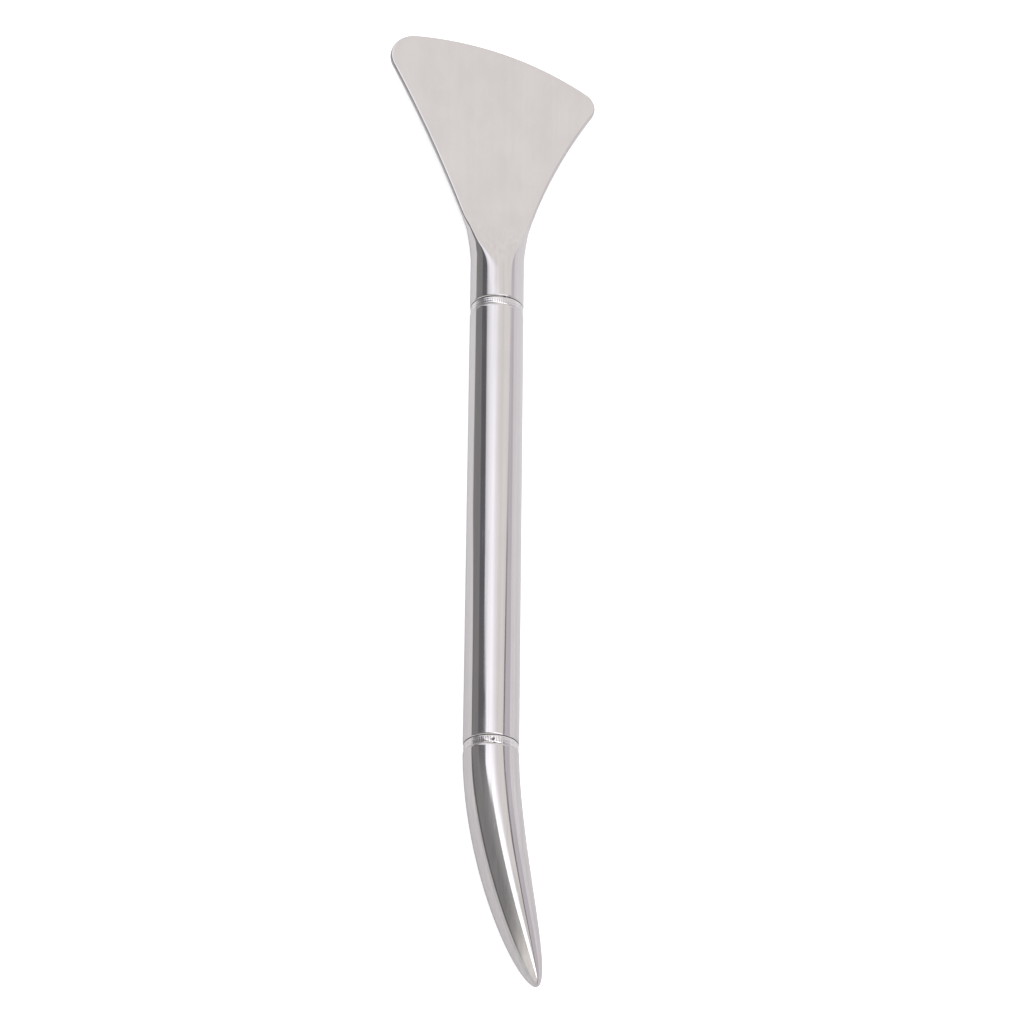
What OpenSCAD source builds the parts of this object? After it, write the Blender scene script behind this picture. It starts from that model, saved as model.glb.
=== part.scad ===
// Double-ended sculpting spatula, all stainless steel: a fan-shaped blade, a tube handle
// and a curved horn, joined by two welds. The tool lies flat along Y with its blade at +Y,
// the tube resting on z = 0, and the origin under the middle of its overall box.

/* [Handle] */
// Outside diameter of the tube, also of the neck and of the horn's root
handle_d = 10; // [8:0.5:12]
// Wall thickness of the tube
handle_wall = 1; // [0.8:0.1:1.5]
// Length of the tube
handle_len = 86; // [70:1:110]
// Small bevel on each rim that faces a weld
rim_bevel = 0.25; // [0.1:0.05:0.4]

/* [Welds] */
// Width of the welded gap between the tube and each head
weld_w = 1.7; // [1.2:0.1:2.5]
// How far the crown of the weld lies below the tube's surface
weld_sunk = 0.2; // [0.1:0.05:0.4]
// How much deeper the weld is at its edges than at its crown
weld_crown = 0.15; // [0.05:0.05:0.3]
// Length of the spigot that each head pushes into the tube
spigot_len = 14; // [8:1:25]
// Gap between a spigot and the tube's bore, on the radius
spigot_gap = 0.05; // [0.02:0.01:0.1]

/* [Blade] */
// Length of the round neck before the two flats begin
neck_len = 5.5; // [3:0.5:7.5]
// Length of the S-curve in which the flats thin the neck down to the plate
ramp_len = 15; // [12:0.5:20]
// Thickness of the plate
plate_t = 1.3; // [1:0.1:2]
// Where along the head the neck starts to widen
swell_at = 10; // [9:0.5:12]
// Where along the head the plate starts to fan out
waist_at = 16.6; // [14:0.1:17]
// How much wider the neck has become there, on each side
waist_swell = 0.85; // [0.6:0.05:1]
// Centre of the high corner, across from the tool's axis and along from the weld
high_corner = [-16.4, 53.6]; // [-30:0.1:60]
// Radius of the high corner
high_r = 4.7; // [3:0.1:5.5]
// Angle between the tool's axis and the edge that runs into the high corner
high_edge_angle = 26.5; // [24:0.1:29]
// Centre of the low corner, across from the tool's axis and along from the weld
low_corner = [14.7, 44.6]; // [-30:0.1:60]
// Radius of the low corner
low_r = 3.6; // [3:0.1:4.5]
// Angle between the tool's axis and the edge that runs into the low corner
low_edge_angle = 33; // [30:0.1:35]
// Radius of the long working edge between the two corners
front_r = 60; // [50:1:90]

/* [Horn] */
// Length of the horn along the tool's axis
horn_len = 42.8; // [35:0.1:55]
// How far the point bends away from the tool's axis
horn_bend = 8.5; // [4:0.1:12]
// How late the bend comes: 1 is a straight slant
bend_power = 1.7; // [1.6:0.1:2.4]
// How late the taper comes: 2 is an ellipse
taper_power = 2.3; // [2:0.1:3]

/* [Smoothness] */
// Rings along the horn
horn_rings = 26; // [16:1:32]
// Sides of each ring of the horn
horn_sides = 40; // [24:4:48]

/* [Hidden] */
handle_r = handle_d / 2;
bore_r = handle_r - handle_wall;
spigot_r = bore_r - spigot_gap;
waist_r = handle_r + waist_swell;
plate_h = plate_t / 2;
tube_end = handle_len / 2;
head_start = tube_end + weld_w;
steel = [0.80, 0.79, 0.79];
bead_steel = [0.60, 0.58, 0.57];
// Spare length by which a cutting shape passes the solid that it trims
over = 1;
// Height of the flats' start above the neck
ramp_start = 0.1;
// Slope of the trumpet that frees the plate beyond the waist, steeper than its edges
flare_slope = 0.9;
flank_steps = 12;
corner_steps = 12;
front_steps = 24;
ramp_steps = 18;
$fn = 96;

// A point at distance r and angle a from c
function polar(c, r, a) = c + r * [cos(a), sin(a)];
function arc(c, r, a0, a1, n) = [for (i = [0 : n]) polar(c, r, a0 + (a1 - a0) * i / n)];
function bezier(a, b, c, n) =
    [for (i = [0 : n]) let (t = i / n) pow(1 - t, 2) * a + 2 * t * (1 - t) * b + t * t * c];

// The side edge from the waist to a corner: a shallow curve that meets the corner's arc
// in line with it. side is -1 for the high corner's side and 1 for the low corner's.
function flank(side, corner, r, angle) =
    let (
        start = [side * waist_r, waist_at],
        stop = corner + r * [side * cos(angle), -sin(angle)],
        along = [side * sin(angle), cos(angle)]
    )
    bezier(start, stop - along * norm(stop - start) / 2, stop, flank_steps);

// Centre of the working edge's arc, which touches both corners' arcs from outside
front_c =
    let (
        gap = low_corner - high_corner,
        d = norm(gap),
        u = gap / d,
        reach = front_r - high_r,
        s = (d * d + pow(reach, 2) - pow(front_r - low_r, 2)) / (2 * d)
    )
    high_corner + s * u + sqrt(reach * reach - s * s) * [u[1], -u[0]];

function heading(v) = atan2(v[1], v[0]);
high_a = heading(high_corner - front_c);
low_a = heading(low_corner - front_c);

high_side = flank(-1, high_corner, high_r, high_edge_angle);
low_side = flank(1, low_corner, low_r, low_edge_angle);
corners_and_front = concat(
    arc(high_corner, high_r, 180 + high_edge_angle, high_a, corner_steps),
    arc(front_c, front_r, high_a, low_a, front_steps),
    arc(low_corner, low_r, low_a, -low_edge_angle, corner_steps)
);

// Half the thickness between the flats at a share x of the ramp. They start a little
// above the neck, so that they never run along its surface.
function ramp_h(x) = plate_h + (handle_r + ramp_start - plate_h) * (1 - x * x * (3 - 2 * x));

// The horn's centre line and radius at a share x of its length
function horn_centre(x) = [horn_bend * pow(x, bend_power), horn_len * x];
function horn_lean(x) = atan(horn_bend / horn_len * bend_power * pow(x, bend_power - 1));
function horn_r(x) = handle_r * sqrt(1 - pow(x, taper_power));

// Rings of the horn from its bevelled rim towards the point, closer together near the point
ring_shares = [for (i = [0 : horn_rings - 1]) sin(90 * i / horn_rings)];
ring_radii = [for (i = [0 : horn_rings - 1]) i == 0 ? handle_r - rim_bevel : horn_r(ring_shares[i])];
horn_points = concat(
    [
        for (i = [0 : horn_rings - 1], k = [0 : horn_sides - 1])
            let (
                c = horn_centre(ring_shares[i]),
                lean = horn_lean(ring_shares[i]),
                q = polar([0, 0], ring_radii[i], 360 * k / horn_sides)
            )
            [c[0] + q[0] * cos(lean), c[1] - q[0] * sin(lean), q[1]]
    ],
    [[horn_bend, horn_len, 0]]
);
horn_faces = let (n = horn_sides, last = (horn_rings - 1) * n) concat(
    [[for (k = [0 : n - 1]) n - 1 - k]],
    [for (i = [0 : horn_rings - 2], k = [0 : n - 1]) [i * n + k, i * n + (k + 1) % n, (i + 1) * n + k]],
    [
        for (i = [0 : horn_rings - 2], k = [0 : n - 1])
            [i * n + (k + 1) % n, (i + 1) * n + (k + 1) % n, (i + 1) * n + k]
    ],
    [for (k = [0 : n - 1]) [last + k, last + (k + 1) % n, last + n]]
);

// The overall box, which fixes the origin
blade_points = concat(high_side, corners_and_front, low_side);
blade_reach = head_start + max([for (p = blade_points) p[1]]);
horn_reach = head_start + max([for (p = horn_points) p[1]]);
middle_x = (max([for (p = blade_points) p[0]]) + min([for (p = blade_points) p[0]])) / 2;
middle_y = (blade_reach - horn_reach) / 2;

// Puts a shape that stands on the tool's axis, drawn along +Y from the tube's middle,
// into the part's frame
module placed() {
    translate([-middle_x, -middle_y, handle_r]) children();
}

// Turns a shape drawn upwards along Z so that it runs along +Y
module along_axis() {
    rotate([-90, 0, 0]) children();
}

// Solid pin that a head pushes through the weld into the tube, ending inside the head
module spigot() {
    translate([0, -weld_w - spigot_len, 0])
        along_axis() cylinder(h = weld_w + spigot_len + neck_len / 2, r = spigot_r);
}

// Round neck with a bevelled rim that widens to the waist, then opens clear of the plate
module neck_trumpet() {
    far = high_corner[1] + high_r + over;
    along_axis() rotate_extrude() polygon([
        [0, 0],
        [handle_r - rim_bevel, 0],
        [handle_r, rim_bevel],
        [handle_r, swell_at],
        [waist_r, waist_at],
        [waist_r + flare_slope * (far - waist_at), far],
        [0, far]
    ]);
}

// Plan of the head: clear of the neck up to the waist, then the fan's own outline
module blade_plan() {
    wide = waist_r + over;
    polygon(concat(
        [[wide, -over], [-wide, -over], [-wide, waist_at - over]],
        high_side,
        corners_and_front,
        [for (i = [flank_steps : -1 : 0]) low_side[i]],
        [[wide, waist_at - over]]
    ));
}

// Side view of the head: open over the neck, then the two flats down to the plate
module blade_profile() {
    far = high_corner[1] + high_r + over;
    flat = [
        for (i = [0 : ramp_steps])
            let (x = i / ramp_steps) [neck_len + ramp_len * x, ramp_h(x)]
    ];
    upper = concat([[-over, ramp_h(0)]], flat, [[far, plate_h]]);
    lower = [for (i = [len(upper) - 1 : -1 : 0]) [upper[i][0], -upper[i][1]]];
    polygon(concat(upper, lower));
}

// Forged head: neck, flats and plate in one piece, with its spigot
module fan_blade() {
    room = handle_r + 2 * over;
    span = 2 * (high_r - high_corner[0]) + 2 * over;
    color(steel) placed() translate([0, head_start, 0]) {
        intersection() {
            neck_trumpet();
            translate([0, 0, -room]) linear_extrude(2 * room) blade_plan();
            translate([-span / 2, 0, 0]) rotate([90, 0, 90]) linear_extrude(span) blade_profile();
        }
        spigot();
    }
}

// Plain tube, open right through, with a bevel on each rim
module handle_tube() {
    color(steel) placed() along_axis() rotate_extrude() polygon([
        [bore_r, -tube_end],
        [handle_r - rim_bevel, -tube_end],
        [handle_r, rim_bevel - tube_end],
        [handle_r, tube_end - rim_bevel],
        [handle_r - rim_bevel, tube_end],
        [bore_r, tube_end]
    ]);
}

// Ring of weld metal that fills the gap round a spigot, starting at the tube's end
module weld_ring() {
    edge_r = handle_r - rim_bevel - weld_crown;
    crown_r = handle_r - weld_sunk;
    third = weld_w / 3;
    along_axis() rotate_extrude() polygon([
        [spigot_r, 0],
        [edge_r, 0],
        [crown_r, third],
        [crown_r, 2 * third],
        [edge_r, weld_w],
        [spigot_r, weld_w]
    ]);
}

// Weld between the tube and the fan blade
module blade_weld() {
    color(bead_steel) placed() translate([0, tube_end, 0]) weld_ring();
}

// Weld between the tube and the horn
module tip_weld() {
    color(bead_steel) placed() mirror([0, 1, 0]) translate([0, tube_end, 0]) weld_ring();
}

// Solid horn that tapers to a rounded point and bends to +X, with its spigot
module curved_tip() {
    color(steel) placed() mirror([0, 1, 0]) translate([0, head_start, 0]) {
        polyhedron(points = horn_points, faces = horn_faces, convexity = 4);
        spigot();
    }
}

fan_blade();
blade_weld();
handle_tube();
tip_weld();
curved_tip();
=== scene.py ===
import math

import bmesh
import bpy
from mathutils import Matrix, Vector, noise


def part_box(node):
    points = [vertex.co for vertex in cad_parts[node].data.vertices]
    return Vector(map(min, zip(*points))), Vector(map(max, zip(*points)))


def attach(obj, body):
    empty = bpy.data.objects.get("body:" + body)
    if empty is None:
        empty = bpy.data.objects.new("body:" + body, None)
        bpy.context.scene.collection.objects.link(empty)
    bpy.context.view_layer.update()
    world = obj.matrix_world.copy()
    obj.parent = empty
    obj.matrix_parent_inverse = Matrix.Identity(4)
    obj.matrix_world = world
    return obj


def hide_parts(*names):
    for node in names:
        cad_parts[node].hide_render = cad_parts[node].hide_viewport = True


# ---------------------------------------------------------------- frame and driving sizes

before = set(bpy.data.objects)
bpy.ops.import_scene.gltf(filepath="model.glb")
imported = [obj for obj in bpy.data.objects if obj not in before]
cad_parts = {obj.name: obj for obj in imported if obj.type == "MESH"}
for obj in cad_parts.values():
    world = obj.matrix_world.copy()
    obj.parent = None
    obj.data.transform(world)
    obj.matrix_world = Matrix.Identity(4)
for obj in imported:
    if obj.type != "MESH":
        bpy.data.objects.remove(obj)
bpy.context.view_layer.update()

MM = 0.001

tube_low, tube_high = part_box("handle_tube")
weld_low, weld_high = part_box("blade_weld")

AXIS_X = (tube_low.x + tube_high.x) / 2
AXIS_Z = (tube_low.z + tube_high.z) / 2
R = (tube_high.x - tube_low.x) / 2
TUBE_MID = (tube_low.y + tube_high.y) / 2
TUBE_HALF = (tube_high.y - tube_low.y) / 2
WELD_W = weld_high.y - weld_low.y
HEAD_START = TUBE_HALF + WELD_W            # from the tube's middle to either head
WALL = 1 * MM
SPIGOT_GAP = 0.05 * MM
SPIGOT_R = R - WALL - SPIGOT_GAP
SPIGOT_IN = 14 * MM
RIM = 0.12 * MM                            # depth of the round on each rim beside a weld
RIM_LEN = 0.3 * MM                         # its length along the tool
RIM_GUARD = 0.06 * MM                      # keeps the rim's shading off the side behind it

# The blade, measured from the weld along the axis and across from it
NECK = 5.5 * MM                            # length of the round neck before the flats start
RAMP = 15 * MM                             # length of the flats' S-curve
RAMP_START = 0.1 * MM                      # height of the flats' start above the neck
PLATE_H = 0.65 * MM                        # half the plate's thickness
SWELL_AT = 10 * MM                         # where the neck starts to widen
WAIST_AT = 16.6 * MM                       # where the neck meets the fan's side edges
WAIST_SWELL = 0.85 * MM                    # how far it stands out beyond the tube there
SWELL_POWER = 1.4
HIGH_CORNER = Vector((-16.4, 53.6)) * MM
HIGH_R = 4.7 * MM
HIGH_ANGLE = math.radians(26.5)
LOW_CORNER = Vector((14.7, 44.6)) * MM
LOW_R = 3.6 * MM
LOW_ANGLE = math.radians(33)
FRONT_R = 60 * MM                          # radius of the working edge
SPINE_END = 40 * MM                        # where the fan's mesh lines meet
FLANK_ROUND = 1.5                          # flank radius over half thickness
FLANK_BLEND = 0.6 * MM                     # how softly that radius turns to the neck's
CREASE = 0.20 * MM                         # polish round on the edge of each flat
NECK_CREASE = 0.6 * MM                     # the same where the flats run out on the neck
CUT_BAND = 0.16 * MM                       # width of the plate's satin cut edge
FRONT_BAND = 0.28 * MM                     # the same along the working edge
BAND_FADE = 0.10 * MM                      # how softly both of them end
BLEND_LEN = 9 * MM                         # length over which crease and mesh lines change
GRID_BLEND_AT = NECK + 2 * MM              # where the mesh lines start to gather at the crease

# The welds
RIPPLES = 64                               # ripples in one turn
RIPPLE_BOW = 0.55                          # how far a ripple's middle runs ahead, in ripples
RIPPLE_WANDER = 0.7                        # how unevenly they follow each other, in ripples
RIPPLE_FAINT, RIPPLE_FRESH = 0.35, 1.0     # strength all round, and what the stop adds
RIPPLE_RISE = 0.6                          # power of the rise from one notch to the next
RIPPLE_MEAN = 0.6                          # about the mean height of that rise
CROWN_SUNK = 0.10 * MM                     # crown of the bead below the tube's surface
CROWN_H = 0.04 * MM                        # round of the bead's middle
EDGE_SUNK = 0.16 * MM                      # how much deeper the bead's edges lie
RIPPLE_H = 0.012 * MM                      # height of a ripple
NOTCH_H = 0.020 * MM                       # depth of the notch between two
GRIT_H = 0.008 * MM                        # height of the unevenness under them
LAP_H = 0.055 * MM                         # depth of the fine lines where passes meet
LUMP_H = 0.06 * MM                         # height of the lumps beside the stop
CRATER_H = 0.25 * MM                       # depth of the crater at the stop
SURFACE_GAP = 0.02 * MM                    # keeps the bead below the tube's surface

# The horn
HORN_LEN = 42.8 * MM
HORN_BEND = 8.5 * MM                       # how far the point lies to the side of the axis
BEND_POWER = 1.7
TAPER_POWER = 2.3


# ---------------------------------------------------------------- mesh helpers

def lerp(a, b, t):
    return a + (b - a) * t


def smooth_step(x):
    """0 up to x = 0 and 1 from x = 1, with a soft rise between them."""
    x = min(max(x, 0), 1)
    return x * x * (3 - 2 * x)


def make_piece(name, verts, faces, material, node):
    """A mesh piece in the part's frame that stands for one CAD node."""
    mesh = bpy.data.meshes.new(name)
    mesh.from_pydata([tuple(v) for v in verts], [], faces)
    mesh.validate()
    for poly in mesh.polygons:
        poly.use_smooth = True
    mesh.materials.append(material)
    obj = bpy.data.objects.new(name, mesh)
    bpy.context.scene.collection.objects.link(obj)
    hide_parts(node)
    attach(obj, "root")
    return obj


def mark_points(obj, name, values):
    """Stores a number for each of the first vertices; the others get 0."""
    layer = obj.data.attributes.new(name, "FLOAT", "POINT")
    rest = len(obj.data.vertices) - len(values)
    layer.data.foreach_set("value", values + [0.0] * rest)


def tool_point(x, along, z):
    """A point across, along and above the tool's axis, from the tube's middle."""
    return Vector((AXIS_X + x, TUBE_MID + along, AXIS_Z + z))


class Shell:
    """Collects vertices and faces of one piece."""

    def __init__(self):
        self.verts = []
        self.faces = []

    def add_rings(self, rings, closed=True, flip=False):
        """Joins rings of equally many points into a skin and returns each ring's first index."""
        n = len(rings[0])
        firsts = []
        for ring in rings:
            firsts.append(len(self.verts))
            self.verts.extend(ring)
        for a, b in zip(firsts, firsts[1:]):
            for k in range(n if closed else n - 1):
                j = (k + 1) % n
                quad = (a + k, a + j, b + j, b + k)
                self.faces.append(quad[::-1] if flip else quad)
        return firsts

    def add_cap(self, first, n, flip=False):
        """Closes a ring with one flat face."""
        loop = tuple(range(first, first + n))
        self.faces.append(loop[::-1] if flip else loop)


def lathe_ring(along, radius, sides):
    """One ring round the tool's axis."""
    return [
        tool_point(radius * math.sin(a), along, radius * math.cos(a))
        for a in (2 * math.pi * k / sides for k in range(sides))
    ]


def rim_profile(start, toward, radius, steps=8):
    """Points (along, radius) of a rounded rim that starts at a face and ends on the side."""
    points = []
    for i in range(steps + 1):
        a = math.pi / 2 * i / steps
        along = start + toward * RIM_LEN * (1 - math.cos(a))
        points.append((along, radius - RIM * (1 - math.sin(a))))
    return points


# ---------------------------------------------------------------- fan blade

def arc_points(centre, radius, a0, a1, n):
    """n steps along an arc."""
    return [
        centre + radius * Vector((math.cos(a), math.sin(a)))
        for a in (lerp(a0, a1, i / n) for i in range(n + 1))
    ]


def bezier_points(a, b, c, n):
    """n steps along a curve from a to c that b pulls towards itself."""
    return [
        (1 - t) ** 2 * a + 2 * t * (1 - t) * b + t * t * c
        for t in (i / n for i in range(n + 1))
    ]


def flank_points(side, corner, radius, angle, n):
    """The side edge from the waist to the corner's arc, which it meets in line."""
    start = Vector((side * (R + WAIST_SWELL), WAIST_AT))
    stop = corner + radius * Vector((side * math.cos(angle), -math.sin(angle)))
    along = Vector((side * math.sin(angle), math.cos(angle)))
    return bezier_points(start, stop - along * (stop - start).length / 2, stop, n)


def front_centre():
    """Centre of the working edge, whose arc touches both corners' arcs."""
    gap = LOW_CORNER - HIGH_CORNER
    d = gap.length
    u = gap / d
    reach = FRONT_R - HIGH_R
    s = (d * d + reach ** 2 - (FRONT_R - LOW_R) ** 2) / (2 * d)
    return HIGH_CORNER + s * u + math.sqrt(reach ** 2 - s * s) * Vector((u.y, -u.x))


def neck_half_width(along):
    """Half width of the neck between the weld and the waist."""
    if along < RIM_LEN:
        return R - RIM + RIM * math.sqrt(max(1 - (1 - along / RIM_LEN) ** 2, 0))
    x = max(along - SWELL_AT, 0) / (WAIST_AT - SWELL_AT)
    return R + WAIST_SWELL * x ** SWELL_POWER


def neck_points(side):
    """The neck's side edge from its rim to just short of the waist."""
    rim_steps, neck_steps, ramp_steps = 8, 10, 44
    stations = [RIM_LEN * (1 - math.cos(math.pi / 2 * i / rim_steps))
                for i in range(rim_steps + 1)]
    stations += [lerp(RIM_LEN + RIM_GUARD, NECK, i / neck_steps) for i in range(neck_steps + 1)]
    stations += [lerp(NECK, WAIST_AT, i / ramp_steps) for i in range(1, ramp_steps)]
    return [Vector((side * neck_half_width(s), s)) for s in stations]


def flat_height(along):
    """Half the thickness of the forging between its two flats."""
    return lerp(R + RAMP_START, PLATE_H, smooth_step((along - NECK) / RAMP))


def smooth_min(a, b, k):
    """The smaller of two numbers, rounded off where they differ by less than k."""
    h = max(k - abs(a - b), 0) / k
    return min(a, b) - h * h * k / 4


def flank_radius(along):
    """Radius of the round between the side edge and the flat."""
    return min(smooth_min(R, FLANK_ROUND * flat_height(along), FLANK_BLEND), R)


def side_radius(along):
    """Radius of the side edge: the neck's own on its rim, and the flank's past it."""
    return neck_half_width(along) if along < RIM_LEN else flank_radius(along)


def crease(along):
    """Size of the polish round between the flank and the flat."""
    wide = lerp(NECK_CREASE, CREASE, smooth_step((along - NECK) / BLEND_LEN))
    return lerp(CREASE, wide, smooth_step(along / NECK))


def half_thickness(depth, along):
    """Height of the surface at a depth in from the side edge."""
    rho = side_radius(along)
    d = min(depth, rho)
    rounded = math.sqrt(max(rho ** 2 - (rho - d) ** 2, 0))
    return smooth_min(rounded, flat_height(along), crease(along))


def blade_outline():
    """The whole outline from the neck's left rim round the fan to its right rim."""
    flank_steps, corner_steps, front_steps = 80, 32, 70
    front = front_centre()
    high_a = math.atan2(HIGH_CORNER.y - front.y, HIGH_CORNER.x - front.x)
    low_a = math.atan2(LOW_CORNER.y - front.y, LOW_CORNER.x - front.x)
    left = neck_points(-1) + flank_points(-1, HIGH_CORNER, HIGH_R, HIGH_ANGLE, flank_steps)
    high = arc_points(HIGH_CORNER, HIGH_R, math.pi + HIGH_ANGLE, high_a, corner_steps)
    edge = arc_points(front, FRONT_R, high_a, low_a, front_steps)
    low = arc_points(LOW_CORNER, LOW_R, low_a, -LOW_ANGLE, corner_steps)
    right = neck_points(1) + flank_points(1, LOW_CORNER, LOW_R, LOW_ANGLE, flank_steps)
    return left + high[1:] + edge[1:] + low[1:] + right[::-1][1:]


def row_depths(along, length, square):
    """Depths from the side edge of the points on one mesh line, of which square is the share
    that leads straight in. They gather on the flank and at its crease, but on the neck they
    are even in angle."""
    flank_steps, crease_steps, inner_steps, inner_power = 14, 6, 18, 3
    most_flank, most_band = 0.6, 0.1       # of the line's length, and of the flank
    rho = side_radius(along)
    stop = length * square
    h = min(flat_height(along), rho)
    flank = min(rho - math.sqrt(max(rho ** 2 - h ** 2, 0)), most_flank * length)
    turn = math.acos(max(1 - flank / rho, -1))
    depths = [rho * (1 - math.cos(turn * j / flank_steps)) for j in range(flank_steps)]
    band = min(CREASE, most_band * flank)
    depths += [flank + band * (2 * j / crease_steps - 1) for j in range(1, crease_steps)]
    depths += [lerp(flank + band, stop, (j / inner_steps) ** inner_power)
               for j in range(inner_steps + 1)]
    last = len(depths) - 1
    even = [stop * (1 - math.cos(math.pi / 2 * j / last)) for j in range(last + 1)]
    share = smooth_step((along - GRID_BLEND_AT) / BLEND_LEN)
    return [lerp(a, b, share) for a, b in zip(even, sorted(depths))]


def blade_rows():
    """For each outline point, the surface points with their depths from the edge in to the
    fan's spine, and 1 on the working edge but 0 on the sides."""
    least_inward = 0.3                     # least share of a mesh line taken to lead inwards
    outline = blade_outline()
    rows = []
    for i, p in enumerate(outline):
        before = outline[max(i - 1, 0)]
        after = outline[min(i + 1, len(outline) - 1)]
        tangent = (after - before).normalized()
        inward = Vector((tangent.y, -tangent.x))
        twin = outline[-1 - i]             # the other side shares the mesh's middle line
        hub = Vector((0, min((p.y + twin.y) / 2, SPINE_END)))
        length = (hub - p).length
        direction = (hub - p) / length
        square = max(abs(direction.dot(inward)), least_inward)
        line = [(p + direction * min(depth / square, length), depth)
                for depth in row_depths(p.y, length, square)]
        # the working edge is where inwards is back towards the neck
        front = smooth_step((-inward.y - 0.3) / 0.5)
        rows.append((line, front))
    return rows


def cut_edge_share(depth, along, front):
    """1 on the plate's satin cut edge and 0 on its polished faces and on the neck."""
    band = lerp(CUT_BAND, FRONT_BAND, front)
    on_edge = 1 - smooth_step((depth - band) / BAND_FADE)
    return on_edge * smooth_step((along - WAIST_AT) / RAMP)


def spigot_rings(outward, sides):
    """The turned spigot of a head, from its chamfered end to just inside the head; outward is
    1 for the blade and -1 for the horn."""
    end = HEAD_START - WELD_W - SPIGOT_IN
    stations = [(end, SPIGOT_R - RIM), (end + RIM, SPIGOT_R), (HEAD_START + RIM, SPIGOT_R)]
    return [lathe_ring(outward * along, radius, sides) for along, radius in stations]


def add_spigot(shell, outward, sides):
    """Adds the spigot as a closed skin of its own."""
    flip = outward > 0
    firsts = shell.add_rings(spigot_rings(outward, sides), flip=flip)
    shell.add_cap(firsts[0], sides, flip=not flip)
    shell.add_cap(firsts[-1], sides, flip=flip)


def build_fan_blade(material):
    """Two mirrored skins between the outline and the spine, closed at the neck's end."""
    rows = blade_rows()
    shell = Shell()
    cut_edge = []
    sheets = []
    for sign, flip in ((1, False), (-1, True)):
        grid = []
        for row, front in rows:
            line = []
            for point, depth in row:
                z = half_thickness(depth, point.y) if depth > 0 else 0.0
                line.append(tool_point(point.x, HEAD_START + point.y, sign * z))
                cut_edge.append(cut_edge_share(depth, point.y, front))
            grid.append(line)
        sheets.append(shell.add_rings(grid, closed=False, flip=flip))
    # the neck's flat end, whose ring runs over the top from left to right and back below
    last = len(rows[0][0]) - 1
    top, below = sheets
    ring = [top[0] + k for k in range(last + 1)] + [top[-1] + k for k in range(last - 1, -1, -1)]
    ring += [below[-1] + k for k in range(1, last + 1)]
    ring += [below[0] + k for k in range(last - 1, 0, -1)]
    shell.faces.append(tuple(ring))
    add_spigot(shell, 1, sides=96)
    obj = make_piece("fan_blade_forged", shell.verts, shell.faces, material, "fan_blade")
    mark_points(obj, "cut_edge", cut_edge)
    join_seams(obj)
    return obj


def join_seams(obj, gap=0.002 * MM):
    """Joins points that lie on each other and turns every face outwards."""
    bm = bmesh.new()
    bm.from_mesh(obj.data)
    bmesh.ops.remove_doubles(bm, verts=bm.verts, dist=gap)
    bmesh.ops.recalc_face_normals(bm, faces=bm.faces)
    bm.to_mesh(obj.data)
    bm.free()


# ---------------------------------------------------------------- handle tube

def build_handle_tube(material):
    """A pipe with a rounded rim at either end."""
    sides, lengths = 160, 24
    side = TUBE_HALF - RIM_LEN - RIM_GUARD
    profile = [(-TUBE_HALF, R - WALL)]
    profile += rim_profile(-TUBE_HALF, 1, R)
    profile += [(lerp(-side, side, i / lengths), R) for i in range(lengths + 1)]
    profile += rim_profile(TUBE_HALF, -1, R)[::-1]
    profile += [(TUBE_HALF, R - WALL), (-TUBE_HALF, R - WALL)]
    shell = Shell()
    shell.add_rings([lathe_ring(y, r, sides) for y, r in profile])
    obj = make_piece("handle_tube_polished", shell.verts, shell.faces, material, "handle_tube")
    join_seams(obj)
    return obj


# ---------------------------------------------------------------- welds

def bump_at(offset, width):
    """A smooth hump of height 1 at offset 0, down to 0.37 at one width from it."""
    return math.exp(-(offset / width) ** 2)


def bead_point(angle, across, side, stop_angle, pit):
    """Radius and darkening of the bead at an angle round the tool, the darkening partly oxide
    and partly painted shade along the bead's edges; across runs from -1 at the tube to 1 at the
    head."""
    around = Vector((math.cos(angle), math.sin(angle), side))
    wander = noise.noise(around * 2)
    off = math.remainder(angle - stop_angle, 2 * math.pi)
    edge = 1 - across ** 4                 # fades what lies on the bead towards its edges

    # ripples, fresh beside the stop
    fresh = RIPPLE_FAINT + RIPPLE_FRESH * bump_at(off + 0.1, 0.5)
    phase = RIPPLES * angle / (2 * math.pi) + RIPPLE_BOW * across ** 2 + RIPPLE_WANDER * wander
    through = phase - math.floor(phase)    # from 0 to 1 through one ripple
    notch = bump_at(min(through, 1 - through), 0.12) * edge * fresh
    rise = RIPPLE_H * fresh * (through ** RIPPLE_RISE - RIPPLE_MEAN) * edge
    ripple = rise - NOTCH_H * notch
    grit = GRIT_H * noise.noise(around * 9 + Vector((0, 0, 2 * across)))

    # lines where two passes meet, away from the stop, and the bead's darker edges: oxide with
    #  painted shade of the groove, strongest at the tube's sides
    drift = across + 0.2 * wander
    laps = (bump_at(drift + 0.35, 0.09) + bump_at(drift - 0.25, 0.09)) * smooth_step(1.4 - fresh)
    # painted shade of the groove on top of the edge oxide, stronger at the tube's sides
    toe_oxide_and_shade = smooth_step((abs(across) - 0.72) / 0.25) * (0.25 + 0.6 * math.sin(angle) ** 2)

    # the stop: a crater with lumps to one side of it and a burnt mark on the other
    crater = pit * bump_at(off, 0.05) * bump_at(across - 0.05, 0.30)
    lumps = bump_at(off + 0.17, 0.06) + bump_at(off + 0.33, 0.07)
    lumps += bump_at(off + 0.25, 0.05) * bump_at(across - 0.4, 0.3)
    burnt = bump_at(off - 0.06, 0.04) * smooth_step(across * 2 - 0.9)

    radius = R - CROWN_SUNK - CROWN_H * across ** 2 - EDGE_SUNK * across ** 8
    radius += ripple + grit - LAP_H * laps - CRATER_H * crater + LUMP_H * lumps * pit * edge
    # darkening in the ripples' notches, at the crater, on the burnt mark and along the edges,
    # where it is partly painted shade
    return min(radius, R - SURFACE_GAP), min(0.35 * notch + crater + burnt + toe_oxide_and_shade, 1)


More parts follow.
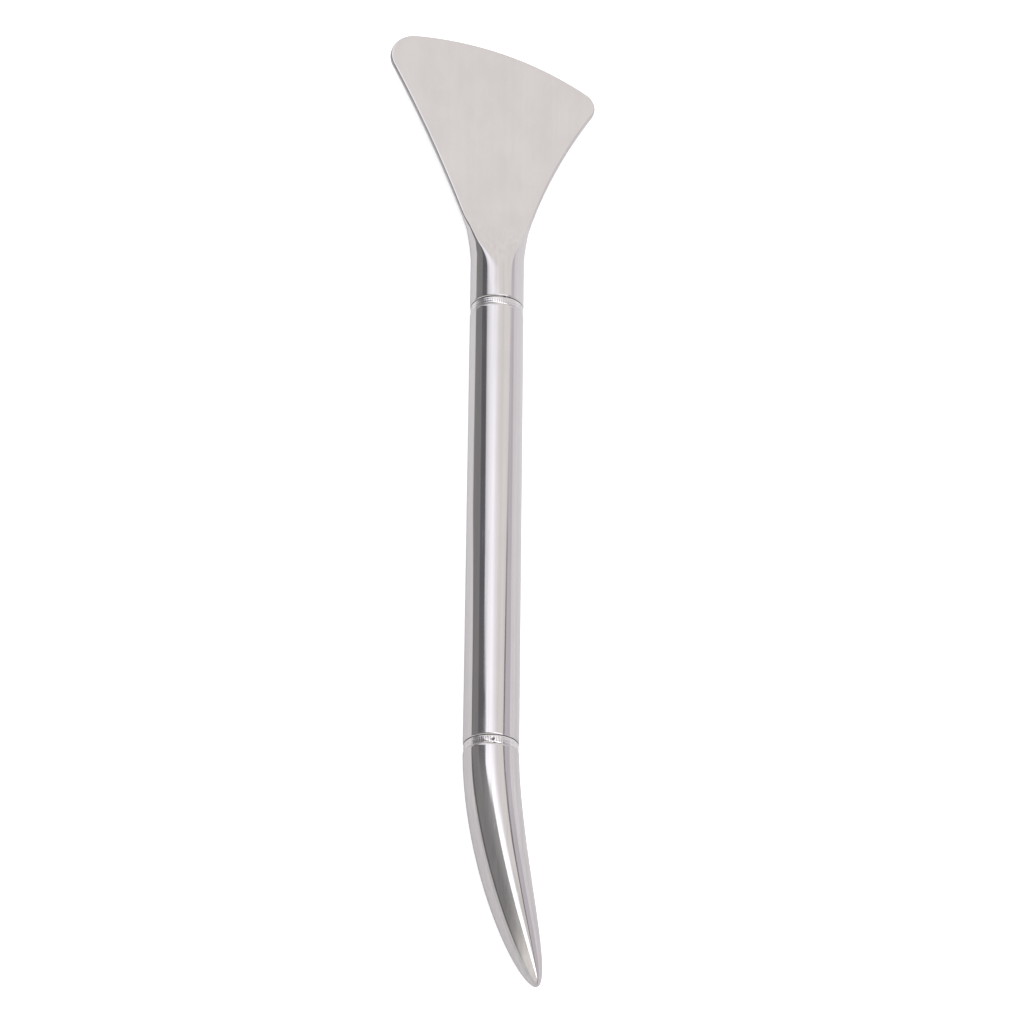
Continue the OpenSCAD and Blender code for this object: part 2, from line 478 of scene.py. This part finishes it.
def build_weld(name, node, side, stop_angle, pit, material):
    """A rippled bead in the groove on one side of the tube. stop_angle is where the weld
    starts and stops, and pit how much of a crater it leaves there."""
    sides, rows = 960, 22
    shell = Shell()
    rings, oxide_and_shade = [], []
    for i in range(rows + 1):
        ring = []
        for k in range(sides):
            a = 2 * math.pi * k / sides
            r, dark = bead_point(a, 2 * i / rows - 1, side, stop_angle, pit)
            along = side * (TUBE_HALF + WELD_W * i / rows)
            ring.append(tool_point(r * math.sin(a), along, r * math.cos(a)))
            oxide_and_shade.append(dark)
        rings.append(ring)
    inner = [
        lathe_ring(side * (TUBE_HALF + WELD_W), SPIGOT_R, sides),
        lathe_ring(side * TUBE_HALF, SPIGOT_R, sides),
    ]
    shell.add_rings(rings + inner + [rings[0]])
    obj = make_piece(name, shell.verts, shell.faces, material, node)
    mark_points(obj, "oxide_and_shade", oxide_and_shade)
    join_seams(obj)
    return obj


# ---------------------------------------------------------------- horn

def horn_radius(x):
    """Radius at a share x of the horn's length."""
    return R * math.sqrt(max(1 - x ** TAPER_POWER, 0))


def horn_ring(x, radius, sides):
    """A ring square to the horn's centre line at a share x of its length."""
    cx = HORN_BEND * x ** BEND_POWER
    lean = math.atan(HORN_BEND / HORN_LEN * BEND_POWER * x ** (BEND_POWER - 1))
    ring = []
    for k in range(sides):
        a = 2 * math.pi * k / sides
        q = radius * math.sin(a)
        along = -(HEAD_START + HORN_LEN * x) + q * math.sin(lean)
        ring.append(tool_point(cx + q * math.cos(lean), along, radius * math.cos(a)))
    return ring


def build_horn(material):
    """Rings square to a curved centre line, closing in on the point."""
    sides, rings = 144, 120
    past_tip = 0.35                        # of a ring; it keeps the last one from closing
    shell = Shell()
    rows = [horn_ring(0, R - RIM, sides)]
    for along, radius in rim_profile(0, 1, R)[1:]:
        x = along / HORN_LEN
        rows.append(horn_ring(x, radius * horn_radius(x) / R, sides))
    first = (RIM_LEN + RIM_GUARD) / HORN_LEN
    for i in range(rings + 1):
        x = lerp(first, 1, math.sin(math.pi / 2 * i / (rings + past_tip)))
        rows.append(horn_ring(x, horn_radius(x), sides))
    firsts = shell.add_rings(rows)
    shell.add_cap(firsts[0], sides)
    shell.add_cap(firsts[-1], sides, flip=True)
    add_spigot(shell, -1, sides)
    obj = make_piece("curved_tip_forged", shell.verts, shell.faces, material, "curved_tip")
    join_seams(obj)
    return obj


# ---------------------------------------------------------------- materials

def colour(red, green, blue):
    return (red, green, blue, 1)


class Tree:
    """Short way to write a node tree."""

    def __init__(self, tree):
        self.tree = tree
        tree.nodes.clear()

    def node(self, kind, inputs=None, **props):
        n = self.tree.nodes.new(kind)
        for key, value in props.items():
            setattr(n, key, value)
        for key, value in (inputs or {}).items():
            socket = n.inputs[key]
            if isinstance(value, bpy.types.NodeSocket):
                self.tree.links.new(value, socket)
            else:
                socket.default_value = value
        return n

    def link(self, a, b):
        self.tree.links.new(a, b)

    def total(self, base, *parts):
        """The base and the sum of the parts, each a value and its factor."""
        for value, factor in parts:
            base = self.math("MULTIPLY_ADD", value, factor, base)
        return base

    def math(self, op, a, b=0.0, c=0.0, clamp=False):
        return self.node("ShaderNodeMath", {0: a, 1: b, 2: c}, operation=op,
                         use_clamp=clamp).outputs[0]

    def ramp(self, value, low, high, to_low=0.0, to_high=1.0):
        """A soft change from to_low at low to to_high at high, which may lie below it."""
        return self.node("ShaderNodeMapRange", {
            "Value": value, "From Min": low, "From Max": high, "To Min": to_low,
            "To Max": to_high}, interpolation_type="SMOOTHSTEP").outputs["Result"]

    def mix_value(self, share, a, b):
        return self.node("ShaderNodeMix", {0: share, 2: a, 3: b},
                         data_type="FLOAT").outputs[0]

    def mix(self, share, a, b):
        """The colour a where the share is 0 and b where it is 1."""
        m = self.node("ShaderNodeMix", data_type="RGBA")
        for socket, value in ((m.inputs[0], share), (m.inputs[6], a), (m.inputs[7], b)):
            if isinstance(value, bpy.types.NodeSocket):
                self.link(value, socket)
            else:
                socket.default_value = value
        return m.outputs[2]


def stretched(t, coords, scale, turn=(0, 0, 0)):
    """Coordinates that give a pattern its size and its slant."""
    return t.node("ShaderNodeMapping", {"Vector": coords, "Scale": scale,
                                        "Rotation": turn}).outputs["Vector"]


def fine_noise(t, vector, detail):
    return t.node("ShaderNodeTexNoise", {"Vector": vector, "Scale": 1.0,
                                         "Detail": detail}).outputs["Fac"]


def finish_metal(t, shade, rough, height, depth):
    """Makes the tree a metal whose relief is as deep as depth where height goes from 0 to 1."""
    relief = t.node("ShaderNodeBump", {"Height": height, "Strength": 0.25, "Distance": depth})
    shader = t.node("ShaderNodeBsdfPrincipled", {
        "Base Color": shade, "Metallic": 1.0, "Roughness": rough,
        "Normal": relief.outputs["Normal"]})
    out = t.node("ShaderNodeOutputMaterial")
    t.link(shader.outputs[0], out.inputs["Surface"])


def polished_steel():
    """Buffed stainless: fine polish lines along the round parts, faint mottling on the flats
    and the grinder's marks round the tool beside each weld; the plate's cut edge is satin."""
    clean = colour(0.612, 0.598, 0.596)
    worn = colour(0.640, 0.626, 0.620)
    streaked = colour(0.575, 0.560, 0.562)
    polish_depth = 0.002 * MM
    mat = bpy.data.materials.new("polished_steel")
    mat.use_nodes = True
    t = Tree(mat.node_tree)
    coords = t.node("ShaderNodeTexCoord").outputs["Object"]
    y = t.node("ShaderNodeSeparateXYZ", {"Vector": coords}).outputs["Y"]
    from_mid = t.math("SUBTRACT", y, TUBE_MID)
    blade_y = HEAD_START + NECK
    round_part = t.ramp(from_mid, blade_y + RAMP, blade_y, 0.12, 1.0)
    from_weld = t.math("SUBTRACT", t.math("ABSOLUTE", from_mid), TUBE_HALF + WELD_W / 2)
    dressed = t.ramp(t.math("ABSOLUTE", from_weld), 8 * MM, 1 * MM)
    cut_edge = t.node("ShaderNodeAttribute", attribute_name="cut_edge").outputs["Fac"]

    # patterns with their cells per metre across, along and above the tool
    lines = fine_noise(t, stretched(t, coords, (7000, 45, 7000)), 3.0)
    broad = fine_noise(t, stretched(t, coords, (1700, 14, 1700)), 2.0)
    cross = fine_noise(t, stretched(t, coords, (260, 5200, 260)), 3.0)
    smudge = fine_noise(t, stretched(t, coords, (220, 120, 220)), 4.0)
    # a few hairline scratches at a slant
    hair = fine_noise(t, stretched(t, coords, (5200, 70, 5200), (0.1, 0.2, 0.42)), 0.0)
    scratch = t.ramp(hair, 0.735, 0.765)

    rough = t.total(0.050, (t.ramp(smudge, 0.35, 0.70), 0.030), (t.ramp(lines, 0.3, 0.7), 0.020),
                    (dressed, 0.035), (scratch, 0.120), (cut_edge, 0.42))
    streak = t.math("MULTIPLY", t.ramp(broad, 0.30, 0.75), round_part)
    shade = t.mix(streak, t.mix(t.ramp(smudge, 0.3, 0.7), clean, worn), streaked)
    drawn = t.math("MULTIPLY", t.total(0.0, (lines, 0.9), (broad, 0.8)), round_part)
    height = t.total(drawn, (cross, 0.35), (t.math("MULTIPLY", cross, dressed), 2.2),
                     (scratch, -0.8))
    finish_metal(t, shade, rough, height, polish_depth)
    return mat


def weld_metal():
    """Bare bead, neutral and slightly gritty, with dark soot patches and darkening where the
    mesh is marked, partly oxide and partly painted shade along the bead's edges.
    """
    clean = colour(0.62, 0.61, 0.61)
    bright = colour(0.72, 0.71, 0.71)
    # dark colour of soot and oxide, also used for the painted shade along the bead's edges
    oxide_and_shade_colour = colour(0.17, 0.165, 0.16)
    grit_depth = 0.01 * MM
    mat = bpy.data.materials.new("weld_metal")
    mat.use_nodes = True
    t = Tree(mat.node_tree)
    coords = t.node("ShaderNodeTexCoord").outputs["Object"]
    grit = fine_noise(t, stretched(t, coords, (2600, 2600, 2600)), 5.0)
    patch = fine_noise(t, stretched(t, coords, (500, 500, 500)), 3.0)
    soot = fine_noise(t, stretched(t, coords, (1400, 1400, 1400)), 2.0)
    oxide_and_shade = t.node("ShaderNodeAttribute", attribute_name="oxide_and_shade").outputs["Fac"]
    dark = t.math("MAXIMUM", t.ramp(soot, 0.66, 0.76), t.ramp(oxide_and_shade, 0.15, 0.75), clamp=True)
    shade = t.mix(dark, t.mix(t.ramp(patch, 0.35, 0.65), clean, bright), oxide_and_shade_colour)
    rough = t.total(0.06, (grit, 0.12), (dark, 0.20))
    finish_metal(t, shade, rough, grit, grit_depth)
    return mat


# ---------------------------------------------------------------- stage

def build_floor():
    """Pale paper for the camera, and for the metal a pool of light painted into the floor's
    colour, which ends in painted shade beside the blade."""
    half, sunk, glow = 3.0, 0.1 * MM, 0.60
    white = colour(0.76, 0.76, 0.77)
    # painted falloff of the pool of light, and below it the floor's painted shade beside the
    # blade
    painted_falloff = colour(0.66, 0.65, 0.66)
    unlit = colour(0.24, 0.235, 0.235)
    mesh = bpy.data.meshes.new("floor")
    mesh.from_pydata([(-half, -half, 0), (half, -half, 0), (half, half, 0), (-half, half, 0)],
                     [], [(0, 1, 2, 3)])
    floor = bpy.data.objects.new("floor", mesh)
    bpy.context.scene.collection.objects.link(floor)
    floor.location.z = -sunk
    mat = bpy.data.materials.new("floor_white")
    mat.use_nodes = True
    t = Tree(mat.node_tree)
    coords = t.node("ShaderNodeTexCoord").outputs["Object"]
    axes = t.node("ShaderNodeSeparateXYZ", {"Vector": coords}).outputs
    # the painted pool of light that the metal mirrors: the floor's colour dims towards the
    # horn's
    #  end and turns to painted shade to the left of the blade
    pool = t.mix(t.ramp(axes[1], 0.02, -0.10), white, painted_falloff)
    beside = t.math("MULTIPLY", t.ramp(axes[0], -0.025, -0.035), t.ramp(axes[1], 0.0, 0.012))
    pool = t.mix(beside, pool, unlit)
    # the camera sees the floor as plain paper with the tool's soft shadow
    seen = t.node("ShaderNodeLightPath").outputs["Is Camera Ray"]
    paper = t.node("ShaderNodeBsdfDiffuse", {"Color": t.mix(seen, pool, white)})
    lift = t.node("ShaderNodeEmission", {"Strength": t.math("MULTIPLY", seen, glow)})
    both = t.node("ShaderNodeAddShader", {0: paper.outputs[0], 1: lift.outputs[0]})
    out = t.node("ShaderNodeOutputMaterial")
    t.link(both.outputs[0], out.inputs["Surface"])
    mesh.materials.append(mat)
    return floor


def build_world():
    """A studio seen in the metal: a bright window beyond the blade's end, a dark room round
    it to the left and overhead, a grey wall to the right and light behind the horn's end.
    The camera itself sees plain white."""
    low_cream, cream = colour(0.90, 0.865, 0.855), colour(1.05, 1.005, 0.995)
    room_left, room_right = colour(0.315, 0.305, 0.31), colour(0.44, 0.43, 0.43)
    frame_dark, band_side = colour(0.17, 0.165, 0.18), colour(0.46, 0.455, 0.455)
    foot_dark, foot_pale = colour(0.16, 0.15, 0.14), colour(0.78, 0.77, 0.78)
    front_low, front_high = colour(0.26, 0.25, 0.25), colour(1.02, 0.99, 0.95)
    wall_high, wall_low = colour(0.76, 0.72, 0.77), colour(0.98, 0.96, 0.99)
    post_dark, white = colour(0.28, 0.265, 0.28), colour(1.0, 1.0, 1.0)
    world = bpy.data.worlds.new("studio")
    bpy.context.scene.world = world
    world.use_nodes = True
    t = Tree(world.node_tree)
    d = t.node("ShaderNodeTexCoord").outputs["Generated"]
    axes = t.node("ShaderNodeSeparateXYZ", {"Vector": d}).outputs
    x, y, z = axes[0], axes[1], axes[2]

    def toward(direction):
        n = Vector(direction).normalized()
        return t.node("ShaderNodeVectorMath", {0: d, 1: tuple(n)},
                      operation="DOT_PRODUCT").outputs["Value"]

    # The tube and the blade mirror the round window, where near is 1. The horn mirrors the
    # straight band of light, where it is 0.
    near = t.ramp(y, 0.27, 0.33)
    window = toward((0.07, 0.87, 0.50))
    band = toward((0.62, 0.78, -0.10))
    pinch = t.math("MULTIPLY", t.ramp(y, 0.42, 0.385), t.ramp(y, 0.335, 0.385))
    inside = t.math("MULTIPLY_ADD", pinch, -0.05, window)
    in_window = t.mix_value(near, t.ramp(band, -0.015, 0.02), t.ramp(inside, 0.655, 0.672))
    deep = t.math("MAXIMUM", t.ramp(window, 0.66, 0.80), t.ramp(y, 0.44, 0.38))
    strip = t.math("MULTIPLY_ADD", t.math("SUBTRACT", 0.48, y, clamp=True), 2.5, 1.42)
    strip = t.math("MULTIPLY", strip, t.math("MULTIPLY_ADD", deep, 0.40, 0.60))
    strip = t.node("ShaderNodeVectorMath", {0: (0.985, 0.975, 1.03), "Scale": strip},
                   operation="SCALE").outputs["Vector"]
    low_band = t.ramp(toward((0.57, 0.68, -0.46)), -0.16, 0.01)
    warm = t.mix_value(near, low_band, t.ramp(toward((0.551, 0.784, 0.287)), 0.48, 0.72))
    pane = t.mix(warm, strip, t.mix(near, low_cream, cream))

    # Dark room: darkest right beside the window and along the foot of the wall
    frame_edge = t.math("MULTIPLY", t.ramp(window, 0.48, 0.52), t.ramp(y, 0.20, 0.40))
    dark = t.mix(t.ramp(x, -0.6, 0.3), room_left, room_right)
    dark = t.mix(frame_edge, dark, frame_dark)
    beside_band = t.math("MULTIPLY", t.ramp(band, -0.40, -0.02), t.ramp(y, 0.40, 0.25))
    dark = t.mix(beside_band, dark, band_side)
    foot = toward((-0.162, -0.597, -0.783))
    skirting = t.math("MULTIPLY", t.ramp(foot, -0.14, -0.05), t.ramp(x, 0.0, -0.5))
    dark = t.mix(skirting, dark, foot_dark)
    behind = t.math("MULTIPLY_ADD", x, 0.35, t.math("MULTIPLY", y, -1.0))
    front = t.mix(t.ramp(z, 0.15, 0.80), front_low, front_high)
    dark = t.mix(t.ramp(behind, -0.22, 0.20), dark, front)
    dark = t.mix(t.ramp(foot, -0.04, 0.04), dark, foot_pale)

    # Grey wall to the right of the window, with a dark post between them low down
    bend = t.math("MINIMUM", t.math("SUBTRACT", y, 0.44), 0.06)
    wall_x = t.math("SUBTRACT", x, t.math("MAXIMUM", bend, -0.04))
    grey = t.mix(t.ramp(z, 0.26, 0.20), wall_high, wall_low)
    post = t.math("MULTIPLY", t.ramp(wall_x, 0.66, 0.68), t.ramp(wall_x, 0.76, 0.73))
    post = t.math("MULTIPLY", post, t.ramp(y, 0.46, 0.41))
    grey = t.mix(post, grey, post_dark)
    pane = t.mix(t.ramp(wall_x, 0.67, 0.70), pane, grey)
    around = t.mix(t.ramp(x, 0.58, 0.68), dark, grey)

    room = t.mix(in_window, around, pane)
    seen = t.node("ShaderNodeLightPath").outputs["Is Camera Ray"]
    shown = t.mix(seen, room, white)
    back = t.node("ShaderNodeBackground", {"Color": shown, "Strength": 1.0})
    out = t.node("ShaderNodeOutputWorld")
    t.link(back.outputs[0], out.inputs["Surface"])
    return world


def build_top_light():
    """Wide soft light that lifts the floor to white; the metal doesn't mirror it."""
    size, watts, height = 2.4, 15, 1.6
    light = bpy.data.lights.new("top_light", "AREA")
    light.shape = "RECTANGLE"
    light.size, light.size_y = size, size
    light.energy = watts
    obj = bpy.data.objects.new("top_light", light)
    obj.location = (0.0, 0.0, height)
    obj.visible_glossy = False
    bpy.context.scene.collection.objects.link(obj)
    return obj


def build_camera():
    """Looks down at the tool from the horn's end, a little to the left of square."""
    distance = 0.7246
    tilt = math.radians(26)                # from square to the tool, towards the horn
    roll = math.radians(6.5)               # round the tool's axis, towards -X
    lean = math.radians(0.57)              # the tool's slant in the picture
    beside = 3.24 * MM                     # how far to the side of the axis it looks
    aim = tool_point(0, 2.6 * MM, 0)
    to_tool = (Matrix.Translation(aim) @ Matrix.Rotation(-roll, 4, "Y")
               @ Matrix.Rotation(lean, 4, "Z") @ Matrix.Translation((beside, 0, 0)))
    camera = bpy.data.objects.new("camera", bpy.data.cameras.new("camera"))
    camera.data.lens = 140.6
    camera.data.sensor_width = 36
    camera.data.clip_start = 0.01
    camera.data.clip_end = 20
    camera.matrix_world = (to_tool @ Matrix.Rotation(tilt, 4, "X")
                           @ Matrix.Translation((0, 0, distance)))
    bpy.context.scene.collection.objects.link(camera)
    bpy.context.scene.camera = camera
    return camera


# ---------------------------------------------------------------- the scene

steel = polished_steel()
bead = weld_metal()
build_fan_blade(steel)
build_handle_tube(steel)
build_weld("blade_weld_bead", "blade_weld", 1, math.radians(8), 0.0, bead)
build_weld("tip_weld_bead", "tip_weld", -1, math.radians(-2), 1.0, bead)
build_horn(steel)
build_floor()
build_world()
build_top_light()
build_camera()

view = bpy.context.scene.view_settings
view.view_transform = "Standard"
view.look = "None"
